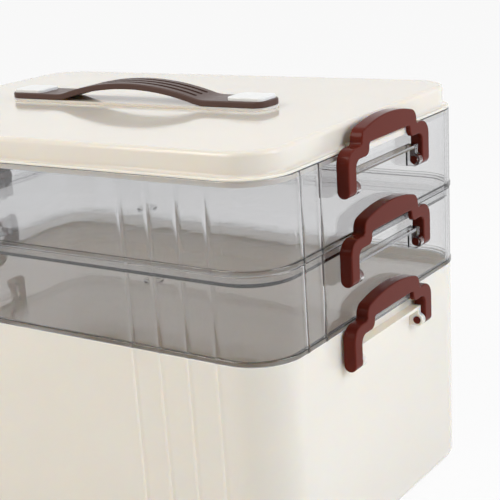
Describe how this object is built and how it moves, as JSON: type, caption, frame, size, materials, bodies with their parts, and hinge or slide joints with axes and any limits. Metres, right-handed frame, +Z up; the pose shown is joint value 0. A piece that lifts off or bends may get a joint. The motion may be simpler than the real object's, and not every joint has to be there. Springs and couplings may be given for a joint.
{
  "type": "storage box",
  "caption": "Stacking storage box with a deep base, clear lift-off trays, a lid with a carrying strap, and swing-out clip latches on its ends.",
  "frame": {"origin": "middle of the box's underside", "axes": "+X along the long side, +Y to the back, +Z up"},
  "size_m": [0.3792, 0.2496, 0.2842],
  "materials": {
    "ivory_plastic": "gloss",
    "smoke_plastic": "clear gloss",
    "red_brown_plastic": "gloss",
    "dark_brown_plastic": "satin",
    "pale_grey_plastic": "gloss",
    "screw_steel": "plated"
  },
  "bodies": {
    "base": {"base_box": "ivory_plastic"},
    "middle_tray": {"middle_tray": "smoke_plastic"},
    "top_tray": {"top_tray": "smoke_plastic"},
    "lid": {"lid": "ivory_plastic", "handle_strap": "dark_brown_plastic", "handle_cap_left": "pale_grey_plastic", "handle_cap_right": "pale_grey_plastic", "handle_screws": "screw_steel"},
    "base_latch_left": {"base_latch_left": "red_brown_plastic"},
    "base_latch_right": {"base_latch_right": "red_brown_plastic"},
    "middle_latch_left": {"middle_latch_left": "red_brown_plastic"},
    "middle_latch_right": {"middle_latch_right": "red_brown_plastic"},
    "top_latch_left": {"top_latch_left": "red_brown_plastic"},
    "top_latch_right": {"top_latch_right": "red_brown_plastic"}
  },
  "joints": [
    {"name": "middle_tray_lift", "type": "slide", "parent": "base", "child": "middle_tray", "axis": [0, 0, 1], "range_m": [0, 0.05]},
    {"name": "top_tray_lift", "type": "slide", "parent": "middle_tray", "child": "top_tray", "axis": [0, 0, 1], "range_m": [0, 0.05]},
    {"name": "lid_lift", "type": "slide", "parent": "top_tray", "child": "lid", "axis": [0, 0, 1], "range_m": [0, 0.05]},
    {"name": "base_latch_left_hinge", "type": "hinge", "parent": "base", "child": "base_latch_left", "pos_m": [-0.1854, 0, 0.1274], "axis": [0, -1, 0], "range_deg": [0, 110]},
    {"name": "base_latch_right_hinge", "type": "hinge", "parent": "base", "child": "base_latch_right", "pos_m": [0.1854, 0, 0.1274], "axis": [0, 1, 0], "range_deg": [0, 110]},
    {"name": "middle_latch_left_hinge", "type": "hinge", "parent": "middle_tray", "child": "middle_latch_left", "pos_m": [-0.1854, 0, 0.1804], "axis": [0, -1, 0], "range_deg": [0, 110]},
    {"name": "middle_latch_right_hinge", "type": "hinge", "parent": "middle_tray", "child": "middle_latch_right", "pos_m": [0.1854, 0, 0.1804], "axis": [0, 1, 0], "range_deg": [0, 110]},
    {"name": "top_latch_left_hinge", "type": "hinge", "parent": "top_tray", "child": "top_latch_left", "pos_m": [-0.1854, 0, 0.2334], "axis": [0, -1, 0], "range_deg": [0, 110]},
    {"name": "top_latch_right_hinge", "type": "hinge", "parent": "top_tray", "child": "top_latch_right", "pos_m": [0.1854, 0, 0.2334], "axis": [0, 1, 0], "range_deg": [0, 110]}
  ],
  "couplings": [
    {"joint": "base_latch_left_hinge", "follows": "middle_tray_lift", "rad_per_m": 38.3},
    {"joint": "base_latch_right_hinge", "follows": "middle_tray_lift", "rad_per_m": 38.3},
    {"joint": "middle_latch_left_hinge", "follows": "top_tray_lift", "rad_per_m": 38.3},
    {"joint": "middle_latch_right_hinge", "follows": "top_tray_lift", "rad_per_m": 38.3},
    {"joint": "top_latch_left_hinge", "follows": "lid_lift", "rad_per_m": 38.3},
    {"joint": "top_latch_right_hinge", "follows": "lid_lift", "rad_per_m": 38.3}
  ]
}
